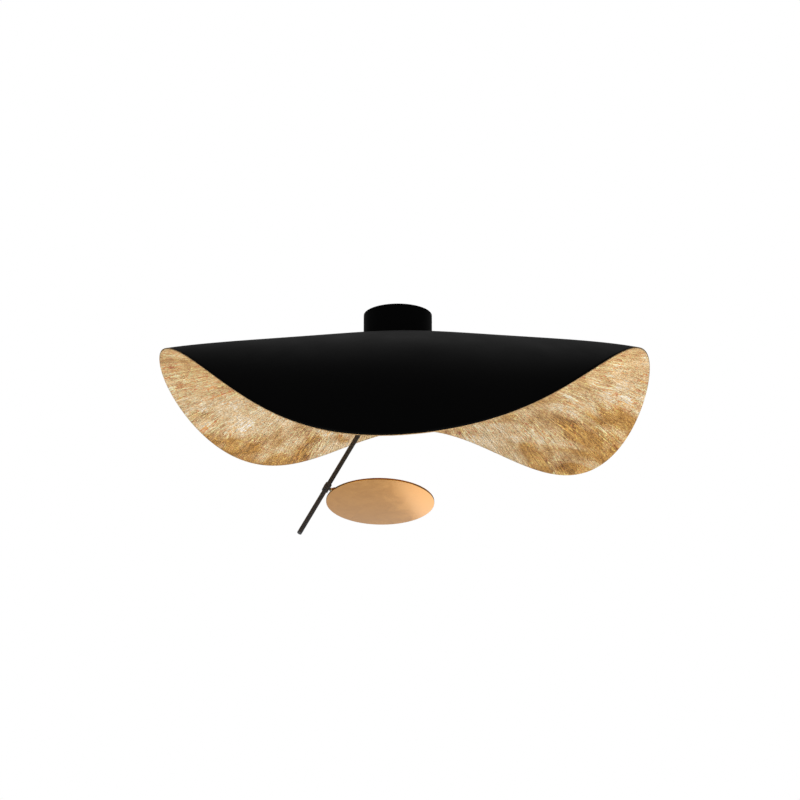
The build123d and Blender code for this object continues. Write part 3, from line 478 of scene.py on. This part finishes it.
# The disc: turned aluminium with a rounded rim, anodised satin gold. Its underside is plain and
# finely turned. Its upper side carries the board, the opal dome and the ring that holds them.
DISC_RADIUS = 0.0635
DISC_THICKNESS = 0.0024
DISC_ROUND = 0.0005
DISC_STEPS = 192
DISC_WEAR = 0.0001
POCKET_RADIUS = 0.038
POCKET_DEPTH = 0.001
joints = {joint["name"]: joint for joint in frame["record"]["behaviour"]["joints"]}
hinge = Vector(joints["disc_tilt"]["pos_m"])
hinge_axis = Vector(joints["disc_tilt"]["axis"])


def placed(origin, side, up):
    """The matrix of a piece's own frame: its Y along side and its Z along up."""
    out = side.cross(up)
    turn = Matrix((out, side, up)).transposed()
    return Matrix.Translation(origin) @ turn.to_4x4()


corners = [Vector(corner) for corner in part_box("disc_plate")]
disc_centre = (corners[0] + corners[1]) / 2
disc_out = (disc_centre - hinge).normalized()
disc_frame = placed(disc_centre, hinge_axis, disc_out.cross(hinge_axis))


def satin_gold():
    """Anodised gold over a fine turned finish, a little handled in the middle."""
    material = new_finish("satin_gold", (0.78, 0.5, 0.25), 0.22, 1.0)
    shader = material.node_tree.nodes["Principled BSDF"]
    shader.inputs["Coat Weight"].default_value = 0.3
    shader.inputs["Coat Roughness"].default_value = 0.12
    centre = node(material, "ShaderNodeUVMap", {"uv_map": "face"}).outputs["UV"]
    reach = node(material, "ShaderNodeVectorMath", {"operation": "LENGTH"}, i0=centre).outputs["Value"]
    rings = node(material, "ShaderNodeCombineXYZ", X=reach).outputs[0]
    lathe = noise(material, rings, 2600, 2)
    smudge = noise(material, centre, 60, 4, 1.0)
    into(material, "Normal", bump(material, lathe, 0.03, 0.0001))
    shades = [(0.35, (0.54, 0.25, 0.055)), (0.65, (0.6, 0.29, 0.07))]
    into(material, "Base Color", ramp(material, smudge, shades))
    into(material, "Roughness", ramp(material, smudge, grey((0.4, 0.2), (0.7, 0.27))))
    return material


def face_map(mesh):
    """A flat map of a round piece, in metres from its middle."""
    layer = mesh.loops.layers.uv.new("face")
    for face in mesh.faces:
        for loop in face.loops:
            loop[layer].uv = loop.vert.co.xy


half = DISC_THICKNESS / 2
outline = [(0, half - POCKET_DEPTH), (POCKET_RADIUS, half - POCKET_DEPTH), (POCKET_RADIUS, half)]
outline += arc(DISC_RADIUS - DISC_ROUND, half - DISC_ROUND, DISC_ROUND, 90, 0, 5)
outline += arc(DISC_RADIUS - DISC_ROUND, DISC_ROUND - half, DISC_ROUND, 0, -90, 5)
outline += [(0, -half)]
disc_mesh = turned(outline, False, DISC_STEPS)
face_map(disc_mesh)
bmesh.ops.transform(disc_mesh, matrix=disc_frame, verts=disc_mesh.verts)
disc = show("disc", disc_mesh, [satin_gold()], "disc")
soften(disc, DISC_WEAR, 1)
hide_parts("disc_plate")
paint(brass, "disc_clip", "hinge_pin", "disc_rivets", "bezel_screws")
paint(moulded("board", (0.75, 0.76, 0.76), 0.4), "led_board")
paint(moulded("phosphor", (0.9, 0.7, 0.2), 0.3), "led_chip")
paint(moulded("opal_dome", (0.9, 0.89, 0.85), 0.35), "lens_dome")
paint(moulded("bezel_gold", (0.75, 0.5, 0.25), 0.35), "lens_bezel")

# The place: a plain pale floor well below, a white surround and large soft lamps. None of it is
# part of the light. FLOOR_LIFT is added for the camera alone, so that the floor reads as white
# and its shadow stays. The surround is dim in gloss, which keeps the lacquer deep black.
FLOOR = -3.2
FLOOR_REACH = 12
FLOOR_LIFT = 0.3
SURROUND = 0.9
SURROUND_IN_GLOSS = 0.15
ground = bmesh.new()
bmesh.ops.create_grid(ground, x_segments=1, y_segments=1, size=FLOOR_REACH)
bmesh.ops.translate(ground, vec=(0, 0, FLOOR), verts=ground.verts)
floor_data = bpy.data.meshes.new("floor")
ground.to_mesh(floor_data)
ground.free()
pale_floor = new_finish("pale_floor", (0.86, 0.86, 0.86), 0.9)
seen = node(pale_floor, "ShaderNodeLightPath").outputs["Is Camera Ray"]
lift = node(pale_floor, "ShaderNodeMath", {"operation": "MULTIPLY", 1: FLOOR_LIFT}, i0=seen).outputs[0]
into(pale_floor, "Emission Strength", lift)
floor_data.materials.append(pale_floor)
floor = bpy.data.objects.new("floor", floor_data)
bpy.context.scene.collection.objects.link(floor)

world = bpy.data.worlds.new("surround")
bpy.context.scene.world = world
world.use_nodes = True
back = world.node_tree.nodes["Background"]
back.inputs["Color"].default_value = (1, 1, 1, 1)
path = world.node_tree.nodes.new("ShaderNodeLightPath")


def toward(level, share, target):
    """Moves a strength to the target for the rays that share picks out."""
    made = world.node_tree.nodes.new("ShaderNodeMix")
    made.inputs["B"].default_value = target
    if isinstance(level, float):
        made.inputs["A"].default_value = level
    else:
        world.node_tree.links.new(level, made.inputs["A"])
    world.node_tree.links.new(path.outputs[share], made.inputs["Factor"])
    return made.outputs[0]


surround = toward(SURROUND, "Is Glossy Ray", SURROUND_IN_GLOSS)
surround = toward(toward(surround, "Is Transmission Ray", 1.0), "Is Camera Ray", 1.0)
world.node_tree.links.new(surround, back.inputs["Strength"])


def lamp(name, place, target, size, power):
    """A soft square lamp that points at a spot."""
    data = bpy.data.lights.new(name, "AREA")
    data.size = size
    data.energy = power
    made = bpy.data.objects.new(name, data)
    made.location = place
    made.rotation_euler = (Vector(target) - Vector(place)).to_track_quat("-Z", "Y").to_euler()
    bpy.context.scene.collection.objects.link(made)


lamp("top_lamp", (0.2, 0.5, 1.8), (0, 0, -0.1), 1.6, 2)
lamp("low_right_lamp", (1.0, -0.9, -1.1), (0.1, 0, -0.15), 1.5, 7.5)
lamp("low_left_lamp", (-1.1, -0.8, -1.1), (-0.1, 0, -0.15), 1.5, 7.5)
lamp("disc_lamp", (0.28, 0.66, -0.74), (0, -0.04, -0.25), 0.5, 0.85)

# The camera stands a little over two metres off and looks up at the light, as in the photograph.
CAMERA_PLACE = (0.0027, -2.3066, -0.8677)
CAMERA_TILT = radians(108.2)
view = bpy.data.cameras.new("view")
view.lens = 90
view.sensor_width = 36
eye = bpy.data.objects.new("view", view)
eye.location = CAMERA_PLACE
eye.rotation_euler = (CAMERA_TILT, 0, 0)
bpy.context.scene.collection.objects.link(eye)
bpy.context.scene.camera = eye
bpy.context.scene.view_settings.view_transform = "Standard"
